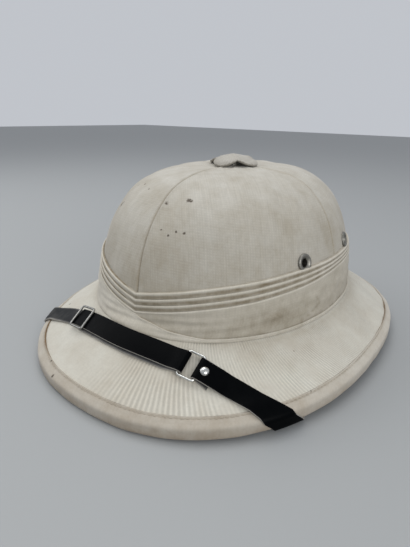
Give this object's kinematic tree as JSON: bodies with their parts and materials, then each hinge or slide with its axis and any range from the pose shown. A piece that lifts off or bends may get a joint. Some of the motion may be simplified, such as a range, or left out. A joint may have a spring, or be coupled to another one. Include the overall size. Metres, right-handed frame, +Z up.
{
  "type": "pith helmet",
  "caption": "Cloth-covered pith helmet with a sloping brim, pleated band, scalloped vent cap, metal eyelets and a leather chin strap laid over the front of the brim.",
  "frame": {"origin": "on the surface that the helmet rests on, under the middle of the brim", "axes": "+Z up, -Y towards the front of the helmet, +X towards the wearer's left"},
  "size_m": [0.261, 0.33, 0.1407],
  "materials": {
    "pith": "bare moulded pith, matte",
    "canvas": "aged off-white cotton drill, matte",
    "binding": "aged cotton binding, matte",
    "puggaree_cloth": "aged pleated cotton, matte",
    "strap_leather": "black leather, polished face and dull back",
    "nickel": "nickel plate, slightly dulled"
  },
  "bodies": {
    "root": {"pith_crown_front_left": "pith", "pith_crown_front_right": "pith", "pith_crown_back_left": "pith", "pith_crown_back_right": "pith", "pith_brim_front_left": "pith", "pith_brim_front_right": "pith", "pith_brim_back_left": "pith", "pith_brim_back_right": "pith", "crown_gore_front_left": "canvas", "crown_gore_front_right": "canvas", "crown_gore_back_left": "canvas", "crown_gore_back_right": "canvas", "brim_cover": "canvas", "edge_binding": "binding", "puggaree": "puggaree_cloth", "vent_cap": "puggaree_cloth", "vent_post": "nickel", "eyelet_front_left": "nickel", "eyelet_front_right": "nickel", "eyelet_back_left": "nickel", "eyelet_back_right": "nickel", "strap_long": "strap_leather", "strap_short": "strap_leather", "strap_ring": "nickel", "strap_slider": "nickel", "strap_rivet": "nickel", "strap_anchor_left": "nickel", "strap_anchor_right": "nickel"}
  },
  "joints": []
}
